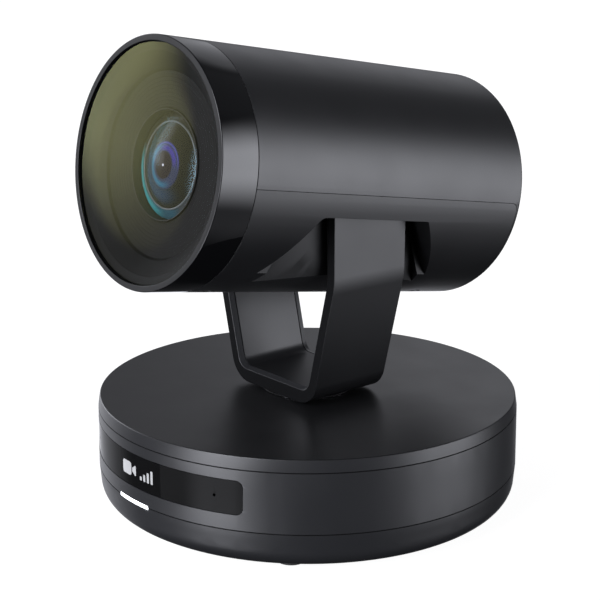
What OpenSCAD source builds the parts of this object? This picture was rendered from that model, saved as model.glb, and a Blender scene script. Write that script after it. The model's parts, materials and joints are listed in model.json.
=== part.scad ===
// Pan-tilt-zoom conference camera: a round base, a slim U-shaped yoke and a long cylindrical head.
// Millimetres, +Z up. The origin is the centre of the circle the feet stand on.
// The front (lens and display side) faces -Y.

/* [Base] */
// Radius of the base at its widest
base_r = 70; // [60:0.5:80]
// Height of the rubber feet below the tray
foot_h = 2.3; // [1.5:0.1:4]
// Height of the lower seam above the table
seam_z = 14; // [13:0.5:18]
// Height of the side band between the two seams
band_h = 19.3; // [18:0.1:26]
// Height of the top cover above the upper seam
cover_h = 4; // [3:0.1:6]
// Radius of the rounded lower edge of the tray
tray_fillet = 6.5; // [4:0.5:8]
// Wall thickness of the base shells
base_wall = 2; // [1.6:0.1:3]

/* [Front panel] */
// Half angle that the glossy front panel spans
panel_half = 34; // [25:1:40]
// Height of the panel's lower edge above the lower seam
panel_lift = 5; // [4:0.1:6]
// Height of the glossy front panel
panel_h = 10.7; // [8:0.1:12]
// Angle of the display window's left edge from straight ahead
window_left = -6.5; // [-12:0.5:-4]
// Angle of the display window's right edge
window_right = 10.3; // [6:0.1:14]
// Angle of the status light's left edge
light_left = -7.3; // [-12:0.1:-4]
// Angle of the status light's right edge
light_right = 5.5; // [3:0.1:12]
// Height of the status light
light_h = 1.35; // [1:0.05:2]
// Angle of the two microphone holes from straight ahead
mic_angle = 26.7; // [15:0.1:30]

/* [Yoke] */
// Half width of the yoke, front to back
yoke_half = 14.8; // [10:0.1:16]
// Thickness of the yoke's arms
yoke_wall = 3.9; // [3.4:0.1:4.2]
// Thickness of the yoke's flat bottom
yoke_floor = 5; // [4.2:0.1:6]
// Outer face of the upright arms from the middle
arm_x = 30.4; // [29.5:0.1:31]
// Corner where the flat bottom meets the sloping side
yoke_corner_x = 20; // [17:0.5:21]
// Height where the sloping side would meet the upright arm
yoke_bend_z = 79.5; // [76:0.5:82]
// Radius of the lower corner
yoke_corner_r = 9; // [7:0.5:11]
// Radius of the bend at the foot of the upright arm
yoke_bend_r = 22; // [12:1:26]

/* [Head] */
// Outer radius of the head
head_r = 38; // [37:0.5:40]
// Front edge of the bezel, forward of the tilt axis
head_front = 64; // [60:0.5:68]
// Rear face of the head, behind the tilt axis
head_rear = 61.5; // [56:0.5:64]
// Length of the glossy bezel
bezel_len = 12.9; // [10:0.1:14]
// Wall thickness of the head shells
head_wall = 2.4; // [1.8:0.1:2.8]
// Height of the tilt axis above the table
tilt_z = 108.9; // [106:0.1:114]
// How far the nose points up as the part is stored
nose_up = 9.4; // [-30:0.1:25]
// Furthest that the nose tilts down from level
nose_down_max = 30; // [20:1:30]
// Furthest that the nose tilts up from level
nose_up_max = 25; // [15:1:25]

/* [Arm pockets] */
// Drop of the pocket ceiling below the head's axis
pocket_drop = 9; // [8:0.5:11]
// Forward end of the pocket ceiling
pocket_front = 23.8; // [23.5:0.1:26]
// Rear end of the pocket ceiling
pocket_back = 20.5; // [20.4:0.1:24]
// Slope of the pocket's front wall from vertical
pocket_front_slope = 35.9; // [31:0.1:40]
// Slope of the pocket's rear wall from vertical
pocket_back_slope = 34; // [30:0.1:40]

/* [Lens] */
// Radius of the lens barrel
barrel_r = 16.8; // [15:0.1:17]
// Radius of the front lens element
front_lens_r = 13.4; // [10:0.1:14]
// Radius of the round step in the baffle
baffle_step_r = 28; // [24:0.5:31]
// Zoom group's place along the barrel, forward of the tilt axis
zoom_at = 28; // [26:0.5:32]
// Focus group's place along the barrel
focus_at = 8; // [6:0.5:12]

/* [Drives] */
// Teeth on the large gears
gear_teeth = 48; // [36:2:60]
// Teeth on the pinions
pinion_teeth = 12; // [10:1:16]
// Tooth module of the pan drive
pan_module = 1; // [0.8:0.1:1]
// Tooth module of the tilt drive
tilt_module = 0.75; // [0.6:0.05:0.75]

/* [Hidden] */
$fn = 96;

// Colours
charcoal = [0.17, 0.17, 0.18];
soft_black = [0.11, 0.11, 0.12];
gloss_black = [0.03, 0.03, 0.035];
steel = [0.62, 0.63, 0.65];
brass = [0.78, 0.62, 0.32];
board_green = [0.08, 0.3, 0.16];
lens_blue = [0.25, 0.35, 0.55, 0.6];

// General fits
gap = 0.15;        // around inset panels
groove = 0.2;      // chamfer on each side of a seam
run = 0.05;        // radial clearance of a running fit
big = 200;

// Base heights
band_top = seam_z + band_h;
base_top = band_top + cover_h;
tray_floor = foot_h + base_wall;
top_taper = 0.27;                // how much the wall leans in between the seams
cover_edge = 0.4;                // rounding of the top edge
light_drop = 0.75;               // how far the status light reaches below the lower seam
tongue_gap = 0.2;
tongue_wall = 1.4;
tongue_h = 1.2;
plate_z = 6;                     // underside of the steel base plate
plate_t = 1.5;
board_z = 15.4;                  // underside of the main board
board_t = 1.6;
board_top = board_z + board_t;
foot_r = 5;
foot_ring = 56.4;                // distance of each foot from the middle
tripod_r = 3.175;                // 1/4 inch thread
tripod_len = 9;
screw_ring = 48;
m3_r = 1.5;
m3_head_r = 2.8;

// Port bay at the back
bay_half = 34;                   // half width of the opening
bay_y = 58;                      // outer face of the port panel
bay_wall = 1.2;
bay_low = seam_z + tongue_h + 0.1;
bay_high = band_top - tongue_h - 0.1;
// Middle of each socket, seen from above
power_x = -27;
audio_x = -17;
hdmi_x = -4;
usb_x = 11.5;
lan_x = 26;

// Pan drive
pan_pinion_r = pan_module * pinion_teeth / 2;
pan_gear_r = pan_module * gear_teeth / 2;
pan_centre = pan_pinion_r + pan_gear_r;
pan_gear_z = 24;
pan_gear_h = 3.5;
shaft_r = 9;
disc_z = base_top + 0.2;
disc_t = 0.5;
disc_r = 15.3;
flange_r = 14.3;
flange_t = 1.9;
yoke_z = disc_z + disc_t;
bearing_z = 29.5;
bearing_top = 33.8;
bearing_r = 14;
bracket_z = 31.3;
bracket_t = 2;
bracket_ring = 29;
yoke_screw_ring = 11.7;

// Tilt drive, measured across the head
tilt_pinion_r = tilt_module * pinion_teeth / 2;
tilt_gear_r = tilt_module * gear_teeth / 2;
tilt_centre = tilt_pinion_r + tilt_gear_r;
axle_r = 3;
gear_x = 17.2;
gear_t = 1.9;
side_plate_x = 19.4;
side_plate_t = 1.8;
arm_in_x = arm_x - yoke_wall;
pocket_x = arm_in_x - 0.6;       // inner wall of the pocket beside the upright arm
pocket_wall = 1.5;
pocket_deep_x = pocket_x - 4;    // the same wall further down, where the arms slope inward
pocket_outer_x = arm_x + 0.6;
yoke_slope = 90 - atan2(arm_x - yoke_corner_x, yoke_bend_z - yoke_z);

// Head lengths along the optical axis, forward of the tilt axis
bezel_back = head_front - bezel_len;
part_drop = 1.65;                // the shells part a little below the axis
rear_lip = 1.5;                  // rim of the rear cap behind the lower shell
inner_r = head_r - head_wall;
rim_w = 1.9;
glass_t = 1.7;
glass_recess = 0.7;
glass_back = head_front - glass_recess - glass_t;
baffle_z = head_front - 6.5;
barrel_front = head_front - 7.1;
barrel_back = -2;
barrel_bore = 15;
rod_r = 1;
rod_x = 11.5;
cell_r = 13.9;
cell_bore = 9;
cell_len = 5;
post_x = 11;                     // screw posts under and over the lens block
post_at = 44;
post_r = 3.2;
ear_z = 20;                      // outer faces of the chassis ears that the posts meet
ear_t = 2;

// ---------- helpers ----------

// Radius of the side wall at a height
function wall_r(z) = base_r - top_taper * (z - seam_z) / band_h;

// A corner moved sideways by t, to the left of a path that turns there from heading a to b
function moved(k, a, b, t) =
    let (na = [-sin(a), cos(a)], nb = [-sin(b), cos(b)])
    k + t * (na + nb) / (1 + na * nb);

// Points round a corner k of radius r, for a path that turns from heading a to b
function rounded(k, a, b, r, steps = 8) =
    let (s = b > a ? 1 : -1,
         start = k - r * abs(tan((b - a) / 2)) * [cos(a), sin(a)],
         mid = start + s * r * [-sin(a), cos(a)])
    [for (i = [0:steps]) let (h = a + (b - a) * i / steps) mid + s * r * [sin(h), -cos(h)]];

function reversed(p) = [for (i = [len(p) - 1:-1:0]) p[i]];

// Things in the head's own frame: x across, y backward along the optical axis, z up
module in_head() {
    translate([0, 0, tilt_z]) rotate([-nose_up, 0, 0]) children();
}

// A 2-D shape (across, up) extruded forward between two stations on the optical axis
module forward(from, to) {
    in_head() rotate([90, 0, 0]) translate([0, 0, from]) linear_extrude(to - from) children();
}

// A profile (radius, forward) turned about the optical axis
module turned() {
    in_head() rotate([90, 0, 0]) rotate_extrude($fn = 128) children();
}

// A 2-D shape (y, z) extruded across between two x values
module across(x0, x1) {
    translate([x0, 0, 0]) rotate([90, 0, 90]) linear_extrude(x1 - x0) children();
}

module both_sides() {
    children();
    mirror([1, 0, 0]) children();
}

// A profile (radius, x) turned about the line through the origin along X
module about_x() {
    rotate([0, 90, 0]) rotate_extrude() children();
}

// A profile (radius, z) turned through part of a circle, from angle a0 to a1 off straight ahead
module sector(a0, a1) {
    rotate([0, 0, a0 - 90]) rotate_extrude(angle = a1 - a0, $fn = 240) children();
}

module rounded_rect(w, h, r) {
    square([w - 2 * r, h], center = true);
    square([w, h - 2 * r], center = true);
    for (sx = [-1, 1], sy = [-1, 1])
        translate([sx * (w / 2 - r), sy * (h / 2 - r)]) circle(r, $fn = 32);
}

// A block given by its lowest and highest corners
module block(low, high) {
    translate(low) cube(high - low);
}

module ring(r_out, r_in, z0, z1) {
    difference() {
        translate([0, 0, z0]) cylinder(r = r_out, h = z1 - z0);
        translate([0, 0, z0 - 1]) cylinder(r = r_in, h = z1 - z0 + 2);
    }
}

// Involute gear in 2-D with its first tooth on +X, or a gap there when shift is half a pitch
module gear_outline(module_mm, teeth, addendum, shift = 0) {
    pitch_r = module_mm * teeth / 2;
    base_circle = pitch_r * cos(20);
    root_r = pitch_r - 1.25 * module_mm;
    tip_r = pitch_r + addendum * module_mm;
    inv_pitch = tan(20) * 180 / PI - 20;
    half_pitch = 90 / teeth - 180 / PI * 0.06 * module_mm / pitch_r;
    start_r = max(base_circle, root_r);
    flank = [for (i = [0:3]) let (r = start_r + (tip_r - start_r) * i / 3,
                 p = acos(base_circle / r)) [r, half_pitch + inv_pitch - (tan(p) * 180 / PI - p)]];
    root = [root_r, flank[0][1] + 0.2];
    side = concat([root], flank);
    polygon([for (k = [0:teeth - 1]) let (mid = 360 * (k + shift) / teeth) each concat(
        [for (q = side) q[0] * [cos(mid - q[1]), sin(mid - q[1])]],
        [for (q = reversed(side)) q[0] * [cos(mid + q[1]), sin(mid + q[1])]])]);
}

// ---------- base: shells ----------

// Outer wall of the base as (radius, z) points, lower edge first
function tray_outline() = concat(
    [[0, foot_h]],
    [for (i = [0:10]) let (h = 90 * i / 10, c = base_r - 0.4 - tray_fillet)
        [c + tray_fillet * sin(h), foot_h + tray_fillet * (1 - cos(h))]],
    [[base_r, seam_z - groove], [base_r - groove, seam_z]]);

module rear_bay_cut(grow) {
    block([-bay_half - grow, 40, bay_low - 0.01], [bay_half + grow, 80, bay_high + 0.01]);
}

module bottom_tray() {
    inner_r = base_r - base_wall - tongue_gap - tongue_wall;
    color(charcoal)
    difference() {
        union() {
            rotate_extrude($fn = 240) polygon(concat(tray_outline(),
                [[inner_r, seam_z], [inner_r, tray_floor + 6], [inner_r - 6, tray_floor],
                 [0, tray_floor]]));
            ring(inner_r + tongue_wall, inner_r, seam_z - 1, seam_z + tongue_h);
            for (a = [0:90:270]) rotate(a) translate([screw_ring, 0, tray_floor - 0.5])
                cylinder(r = 4.5, h = plate_z - tray_floor + 0.5);
            translate([0, 0, tray_floor - 0.5]) cylinder(r = 9, h = plate_z - tray_floor + 0.5);
        }
        for (a = [0:90:270]) rotate(a) translate([screw_ring, 0, 0]) {
            translate([0, 0, foot_h - 1]) cylinder(r = m3_head_r + 0.2, h = 3.2, $fn = 48);
            cylinder(r = m3_r + 0.1, h = 20, $fn = 48);
        }
        translate([0, 0, foot_h - 1]) cylinder(r = 6, h = 20);
        for (a = [45:90:315]) rotate(a) translate([foot_ring, 0, foot_h - 1])
            cylinder(r = foot_r + 0.05, h = 1.7, $fn = 64);
        light_body(0.05, base_r - base_wall - 0.05, base_r + 1);
    }
}

module side_band() {
    inner_r = base_r - base_wall;
    color(charcoal)
    difference() {
        rotate_extrude($fn = 240) polygon([[inner_r, seam_z], [base_r - groove, seam_z],
            [wall_r(seam_z + groove), seam_z + groove],
            [wall_r(band_top - groove), band_top - groove],
            [wall_r(band_top) - groove, band_top], [inner_r, band_top]]);
        panel_body(gap, base_r - 1.3, base_r + 2);
        block([-8, -big, seam_z + panel_lift + 1], [11.5, -50, seam_z + panel_lift + panel_h - 1]);
        light_body(0.05, base_r - base_wall - 1, base_r + 1);
        mic_holes();
        rear_bay_cut(0);
    }
}

module top_cover() {
    inner_r = base_r - base_wall;
    hole_r = flange_r + 0.5;
    edge_r = wall_r(base_top) - 0.5;
    color(charcoal)
    difference() {
        union() {
            rotate_extrude($fn = 240) polygon(concat(
                [[hole_r, base_top - base_wall], [inner_r, base_top - base_wall],
                 [inner_r, band_top], [wall_r(band_top) - groove, band_top],
                 [wall_r(band_top + groove), band_top + groove]],
                [for (i = [0:6]) let (h = 90 * i / 6)
                    [edge_r - cover_edge * (1 - cos(h)), base_top - cover_edge * (1 - sin(h))]],
                [[hole_r, base_top]]));
            ring(inner_r - tongue_gap, inner_r - tongue_gap - tongue_wall,
                 band_top - tongue_h, base_top - base_wall + 0.2);
            for (a = [45:90:315]) rotate(a) translate([bracket_ring, 0, bracket_z + bracket_t])
                cylinder(r = 3.5, h = base_top - base_wall - bracket_z - bracket_t + 0.2);
        }
        for (a = [45:90:315]) rotate(a) translate([bracket_ring, 0, 0])
            cylinder(r = 1.3, h = base_top - 0.6, $fn = 48);
    }
}

// ---------- base: front ----------

// The front panel's space between two radii, grown by g all round
module panel_body(g, r_in, r_out) {
    half_w = base_r * sin(panel_half) + g;
    mid_z = seam_z + panel_lift + panel_h / 2;
    intersection() {
        ring(r_out, r_in, seam_z, band_top);
        translate([0, -30, mid_z]) rotate([90, 0, 0]) linear_extrude(60)
            rounded_rect(2 * half_w, panel_h + 2 * g, 2 + g);
    }
}

// The display window's space, from one edge to the other of the panel
module window_body(g, r_in, r_out) {
    intersection() {
        panel_body(g, r_in, r_out);
        block([base_r * sin(window_left) - g, -big, 0], [base_r * sin(window_right) + g, 0, big]);
    }
}

// The status light's space, which spans the lower seam
module light_body(g, r_in, r_out) {
    low = seam_z - light_drop - g;
    high = seam_z - light_drop + light_h + g;
    sector(light_left - g, light_right + g)
        polygon([[r_in, low], [r_out, low], [r_out, high], [r_in, high]]);
}

module mic_holes() {
    for (a = [-mic_angle, mic_angle])
        rotate(a) translate([0, -60, seam_z + panel_lift + panel_h / 2])
            rotate([90, 0, 0]) cylinder(r = 0.5, h = 20, $fn = 24);
}

module front_panel() {
    color(gloss_black)
    difference() {
        panel_body(0, base_r - 1.3, base_r - 0.2);
        window_body(0.06, base_r - 0.8, base_r + 1);
        mic_holes();
    }
}

module display_window() {
    color([0.01, 0.01, 0.012])
    window_body(0, base_r - 0.8, base_r - 0.2);
}

module display_board() {
    z0 = seam_z + panel_lift + 0.6;
    color(board_green)
    union() {
        block([-12, -64.2, z0], [17, -62.8, z0 + 12]);
        block([-7.5, -65.6, z0 + 0.8], [11, -64.2, z0 + 9.4]);
        block([13, -65.2, z0 + 2], [16.5, -64.2, z0 + 6]);
    }
}

module status_light() {
    color("white")
    light_body(0, base_r - base_wall, base_r - 0.1);
}

module microphones() {
    color(steel)
    for (a = [-mic_angle, mic_angle])
        rotate(a) translate([0, -65.5, seam_z + panel_lift + panel_h / 2])
            rotate([90, 0, 0]) cylinder(r = 2, h = 2.3, $fn = 48);
}

module rubber_feet() {
    color(soft_black)
    for (a = [45:90:315]) rotate(a) translate([foot_ring, 0, 0]) {
        translate([0, 0, 0.4]) cylinder(r = foot_r, h = foot_h + 0.3, $fn = 64);
        cylinder(r1 = foot_r - 0.4, r2 = foot_r, h = 0.4, $fn = 64);
    }
}

module tripod_insert() {
    color(brass)
    difference() {
        translate([0, 0, foot_h]) cylinder(r = 6, h = tripod_len);
        translate([0, 0, foot_h - 1]) cylinder(r = tripod_r, h = tripod_len + 2);
    }
}

// ---------- base: inside ----------

module base_plate() {
    color(steel)
    difference() {
        union() {
            translate([0, 0, plate_z]) cylinder(r = 58, h = plate_t);
            for (p = [[-44, 22], [44, 22], [-26, 48], [26, 48]])
                translate([p[0], p[1], plate_z]) cylinder(r = 2.5, h = board_z - plate_z, $fn = 48);
        }
        translate([0, 0, plate_z - 1]) cylinder(r = 6.2, h = 5);
        for (a = [0:90:270]) rotate(a) translate([screw_ring, 0, plate_z - 1])
            cylinder(r = m3_r, h = 5, $fn = 48);
    }
}

module main_board() {
    color(board_green)
    union() {
        intersection() {
            translate([0, 0, board_z]) cylinder(r = 62, h = board_t);
            block([-56, 13, board_z], [56, bay_y - bay_wall - 0.2, board_top]);
        }
        block([-38, 18, board_top], [-26, 30, board_top + 1.2]);
        block([-24, 34, board_top], [-14, 44, board_top + 1]);
        block([28, 18, board_top], [40, 24, board_top + 4]);
        for (x = [-46, -41, 45]) translate([x, 30, board_top]) cylinder(r = 2, h = 7, $fn = 32);
    }
}

module processor_heat_sink() {
    color([0.5, 0.52, 0.55])
    union() {
        block([-9, 27, board_top], [15, 43, board_top + 2]);
        for (i = [0:5]) block([-9 + 4.4 * i, 27, board_top + 1.9], [-7 + 4.4 * i, 43, board_top + 5]);
    }
}

module socket_hole(x, w, h, g) {
    block([x - w / 2 - g, 40, board_top - g], [x + w / 2 + g, 80, board_top + h + g]);
}

module port_panel() {
    color(soft_black)
    difference() {
        intersection() {
            translate([0, 0, bay_low]) cylinder(r = base_r - base_wall, h = bay_high - bay_low, $fn = 240);
            block([-bay_half - bay_wall, bay_y - bay_wall, bay_low],
                  [bay_half + bay_wall, 80, bay_high]);
        }
        block([-bay_half, bay_y, bay_low + bay_wall], [bay_half, 90, bay_high - bay_wall]);
        socket_hole(lan_x, 15, 13, 0.1);
        socket_hole(usb_x, 12, 11, 0.1);
        socket_hole(hdmi_x, 15, 6, 0.1);
        socket_hole(audio_x, 7, 6, 0.1);
        socket_hole(power_x, 9, 11, 0.1);
    }
}

// A socket's metal or plastic block standing on the main board
module socket_block(x, w, h, depth) {
    block([x - w / 2, bay_y + 0.4 - depth, board_top], [x + w / 2, bay_y + 0.4, board_top + h]);
}

module lan_socket() {
    front = bay_y + 0.4;
    color(steel)
    difference() {
        socket_block(lan_x, 15, 13, 20);
        block([lan_x - 6, front - 14, board_top + 3.4], [lan_x + 6, front + 1, board_top + 11.6]);
        block([lan_x - 3, front - 12, board_top + 1.4], [lan_x + 3, front + 1, board_top + 3.5]);
    }
}

module usb_socket() {
    front = bay_y + 0.4;
    color(steel)
    union() {
        difference() {
            socket_block(usb_x, 12, 11, 15);
            block([usb_x - 4.3, front - 10, board_top + 1.4], [usb_x + 4.3, front + 1, board_top + 9.6]);
        }
        block([usb_x - 2.8, front - 11, board_top + 3.9], [usb_x + 2.8, front - 1, board_top + 7.1]);
    }
}

module hdmi_socket() {
    front = bay_y + 0.4;
    color(steel)
    union() {
        difference() {
            socket_block(hdmi_x, 15, 6, 11);
            block([hdmi_x - 7, front - 9, board_top + 2], [hdmi_x + 7, front + 1, board_top + 5.3]);
            block([hdmi_x - 5, front - 9, board_top + 0.8], [hdmi_x + 5, front + 1, board_top + 2.1]);
        }
        block([hdmi_x - 5.6, front - 9.5, board_top + 2.9], [hdmi_x + 5.6, front - 1.5, board_top + 4]);
    }
}

module audio_socket() {
    color(soft_black)
    difference() {
        socket_block(audio_x, 7, 6, 12);
        translate([audio_x, bay_y + 1, board_top + 3]) rotate([90, 0, 0])
            cylinder(r = 1.8, h = 11, $fn = 48);
    }
}

module power_socket() {
    centre = [power_x, bay_y + 0.4, board_top + 6];
    color(soft_black)
    difference() {
        socket_block(power_x, 9, 11, 14);
        translate(centre + [0, 1, 0]) rotate([90, 0, 0]) difference() {
            cylinder(r = 3, h = 11, $fn = 48);
            translate([0, 0, 2]) cylinder(r = 1, h = 12, $fn = 48);
        }
    }
}

module pan_motor() {
    top = 22;
    color(steel)
    translate([0, -pan_centre, 0])
    difference() {
        union() {
            translate([0, 0, plate_z + plate_t]) cylinder(r = 12.5, h = top - plate_z - plate_t);
            translate([0, 0, plate_z + plate_t]) linear_extrude(2) rounded_rect(34, 9, 4);
        }
        translate([0, 0, top - 5]) cylinder(r = 2 + run, h = 6, $fn = 48);
    }
}

module pan_bracket() {
    color(steel)
    difference() {
        union() {
            translate([0, 0, bracket_z]) cylinder(r = 34, h = bracket_t);
            translate([0, 0, bearing_z]) cylinder(r = bearing_r + 2, h = bearing_top - bearing_z);
        }
        translate([0, 0, bearing_z - 1]) cylinder(r = bearing_r, h = 10);
        for (a = [45:90:315]) rotate(a) translate([bracket_ring, 0, bracket_z - 1])
            cylinder(r = m3_r + 0.1, h = 5, $fn = 48);
    }
}

module pan_bearing() {
    color(brass)
    ring(bearing_r, shaft_r + run, bearing_z, bearing_top);
}

// A round-head screw pointing up, its head's top face at z = 0
module screw(r, head_r, head_h, length) {
    translate([0, 0, -head_h]) cylinder(r = head_r, h = head_h, $fn = 48);
    translate([0, 0, -0.1]) cylinder(r = r, h = length + 0.1, $fn = 48);
}

module base_screws() {
    color(steel) {
        for (a = [0:90:270]) rotate(a) translate([screw_ring, 0, foot_h + 2.2])
            screw(m3_r, m3_head_r, 1.7, 6);
        for (a = [45:90:315]) rotate(a) translate([bracket_ring, 0, bracket_z])
            screw(1.3, 2.6, 1.5, 5);
    }
}

// ---------- yoke: everything that pans ----------

module turntable_disc() {
    color(soft_black)
    difference() {
        translate([0, 0, disc_z]) cylinder(r = disc_r, h = disc_t);
        translate([0, 0, disc_z - 1]) cylinder(r = 5, h = 3);
        yoke_screw_places() cylinder(r = 1.35, h = base_top + 5, $fn = 32);
    }
}

module yoke_screw_places() {
    for (a = [0:90:270]) rotate(a) translate([yoke_screw_ring, 0, 0]) children();
}

module pan_shaft() {
    bottom = 21.5;
    color(steel)
    difference() {
        union() {
            translate([0, 0, bottom]) cylinder(r = shaft_r, h = disc_z - bottom);
            translate([0, 0, disc_z - flange_t]) cylinder(r = flange_r, h = flange_t);
        }
        translate([0, 0, bottom - 1]) cylinder(r = 5, h = 40);
        yoke_screw_places() cylinder(r = 1.35, h = big, $fn = 32);
        ring(shaft_r + 2, shaft_r - 0.8, 22.3, 23.1);
    }
}

module pan_gear() {
    color(soft_black)
    translate([0, 0, pan_gear_z])
    difference() {
        union() {
            linear_extrude(pan_gear_h) rotate(-90) gear_outline(pan_module, gear_teeth, 0.7);
            translate([0, 0, pan_gear_h]) cylinder(r = 12, h = 1.7);
        }
        translate([0, 0, -1]) cylinder(r = shaft_r, h = 10);
        for (a = [0:60:300]) rotate(a + 30) translate([16.5, 0, -1]) cylinder(r = 3.2, h = 9);
    }
}

module shaft_clip() {
    color(steel)
    difference() {
        ring(shaft_r + 2.2, shaft_r - 0.75, 22.35, 23.05);
        block([-4, 0, 20], [4, 20, 30]);
    }
}

// Right half of the yoke's section, at a depth t inside its outer face
function yoke_half_path(t) = let (
        rise = t * yoke_floor / yoke_wall,
        along_side = (rise - t) / sin(yoke_slope) * [cos(yoke_slope), sin(yoke_slope)],
        low = moved([yoke_corner_x, yoke_z], 0, yoke_slope, t) + along_side,
        bend = moved([arm_x, yoke_bend_z], yoke_slope, 90, t))
    concat(rounded(low, 0, yoke_slope, yoke_corner_r - rise),
           rounded(bend, yoke_slope, 90, yoke_bend_r - t),
           [[arm_x - t, tilt_z + yoke_half + 1]]);

// The whole section's edge at that depth, from the left arm's top round to the right one's
function yoke_path(t) =
    let (right = yoke_half_path(t))
    concat([for (p = reversed(right)) [-p[0], p[1]]], right);

// The U between two depths, extruded over |y| < half
module yoke_layer(t0, t1, half) {
    translate([0, half, 0]) rotate([90, 0, 0]) linear_extrude(2 * half)
        polygon(concat(yoke_path(t0), reversed(yoke_path(t1))));
}

// Side view of the arms: straight sides and round tops
module arm_side_view(half) {
    translate([-half, 0]) square([2 * half, tilt_z]);
    translate([0, tilt_z]) circle(half);
}

liner_t = 1;
liner_half = yoke_half - 2.1;
liner_top = 84;
channel_floor = 1.4;
channel_half = 6;
channel_low = 50;

module below(z) {
    block([-big, -big, -big], [big, big, z]);
}

module yoke_frame() {
    color(charcoal)
    difference() {
        intersection() {
            yoke_layer(0, yoke_wall, yoke_half);
            across(-50, 50) arm_side_view(yoke_half);
        }
        intersection() {
            yoke_layer(yoke_wall - liner_t, yoke_wall + 1, liner_half + gap);
            below(liner_top + gap);
        }
        intersection() {
            yoke_layer(channel_floor, yoke_wall - 0.5, channel_half);
            block([0, -channel_half, channel_low], [50, channel_half, liner_top - 2]);
        }
        translate([0, 0, tilt_z]) rotate([0, 90, 0]) cylinder(r = axle_r, h = 100, center = true);
        translate([0, 0, yoke_z - 1]) cylinder(r = 5, h = yoke_floor + 2);
        yoke_screw_places() cylinder(r = 1.25, h = yoke_z + 3, $fn = 32);
    }
}

// Trim that closes the inside of the yoke: both arms and the floor in one piece
module yoke_liner() {
    color(charcoal)
    intersection() {
        yoke_layer(yoke_wall - liner_t, yoke_wall, liner_half);
        below(liner_top);
    }
}

module yoke_cable() {
    color([0.75, 0.75, 0.72])
    intersection() {
        yoke_layer(1.6, 2.4, 4);
        block([0, -5, channel_low + 0.5], [50, 5, liner_top - 2.5]);
    }
}

module yoke_screws() {
    color(steel)
    yoke_screw_places() translate([0, 0, disc_z - flange_t]) screw(1.25, 2.2, 1.2, 5);
}

module axle(inner_x) {
    color(steel)
    translate([0, 0, tilt_z]) rotate([0, 90, 0]) {
        translate([0, 0, inner_x]) cylinder(r = axle_r, h = arm_x - inner_x);
        translate([0, 0, arm_x]) cylinder(r = 5, h = 1.2);
        translate([0, 0, arm_in_x - 1.5]) cylinder(r = 4.5, h = 1.5);
    }
}

module right_tilt_axle() { axle(gear_x); }
module left_tilt_axle() { mirror([1, 0, 0]) axle(side_plate_x - 0.6); }

// Fixed to the right axle, so the head walks round it
module tilt_gear() {
    color(brass)
    in_head() translate([gear_x, 0, 0]) rotate([90, 0, 90])
    linear_extrude(gear_t)
    difference() {
        gear_outline(tilt_module, gear_teeth, 0.7);
        circle(axle_r);
        for (a = [0:60:300]) rotate(a + 30) translate([10.5, 0]) circle(3.2);
    }
}

module pan_pinion() {
    color(brass)
    translate([0, -pan_centre, 0]) {
        translate([0, 0, pan_gear_z - 0.4]) linear_extrude(pan_gear_h + 0.8)
            rotate(90) gear_outline(pan_module, pinion_teeth, 1, 0.5);
        translate([0, 0, 17.5]) cylinder(r = 2, h = pan_gear_z - 17.4, $fn = 48);
    }
}

// ---------- head: shells and pockets ----------

// Side outline (y, z) of an arm pocket, grown by g
module pocket_outline(g) {
    k_front = moved([-pocket_front, -pocket_drop], 90 - pocket_front_slope, 0, g);
    k_back = moved([pocket_back, -pocket_drop], 0, pocket_back_slope - 90, g);
    deep = 34;
    polygon(concat(
        [k_front - deep * [tan(pocket_front_slope), 1]],
        rounded(k_front, 90 - pocket_front_slope, 0, 3.5 + g),
        rounded(k_back, 0, pocket_back_slope - 90, 1.2 + g),
        [k_back + deep * [tan(pocket_back_slope), -1]]));
}

// Side outline of all that an arm sweeps as the head tilts
module arm_sweep(half) {
    function turned_pt(p, a) = [p[0] * cos(a) - p[1] * sin(a), p[0] * sin(a) + p[1] * cos(a)];
    polygon([turned_pt([-half, -60], -nose_down_max), turned_pt([-half, 0], -nose_down_max),
             turned_pt([half, 0], nose_up_max), turned_pt([half, -60], nose_up_max)]);
    circle(half);
}

// Space outside the pocket's inner wall, on the right, out to x_out
module beside_arm(wall, x_out) {
    about_x() polygon([[0, pocket_x - wall], [27, pocket_x - wall], [46, pocket_deep_x - wall],
        [60, pocket_deep_x - 3 - wall], [60, x_out], [0, x_out]]);
}

module pocket_cut() {
    both_sides() {
        across(pocket_x, 50) pocket_outline(0);
        intersection() {
            beside_arm(0, pocket_outer_x);
            across(0, 50) arm_sweep(yoke_half + 0.5);
        }
    }
}

module pocket_walls() {
    intersection() {
        rotate([90, 0, 0]) cylinder(r = inner_r + 0.5, h = 100, center = true, $fn = 128);
        both_sides() intersection() {
            beside_arm(pocket_wall, 50);
            across(0, 50) pocket_outline(pocket_wall);
        }
    }
}

// Side view (y, z) of the lower shell's share of the head, shrunk by g
module lower_share(g) {
    r = 2.5;
    low = -head_r - 2;
    back = head_rear - rear_lip - g;
    top = -part_drop - g;
    polygon(concat([[-bezel_back, low], [back, low]],
        rounded([back, top], 90, 180, r), [[-bezel_back, top]]));
}

module post_places() {
    for (sx = [-1, 1], y = [-post_at, post_at]) translate([sx * post_x, y, 0]) children();
}

// The head shells' screw posts, kept inside the shells
module shell_posts(low, high) {
    intersection() {
        post_places() translate([0, 0, low]) cylinder(r = post_r, h = high - low, $fn = 48);
        rotate([90, 0, 0]) cylinder(r = inner_r + 0.5, h = 110, center = true);
    }
}

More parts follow.
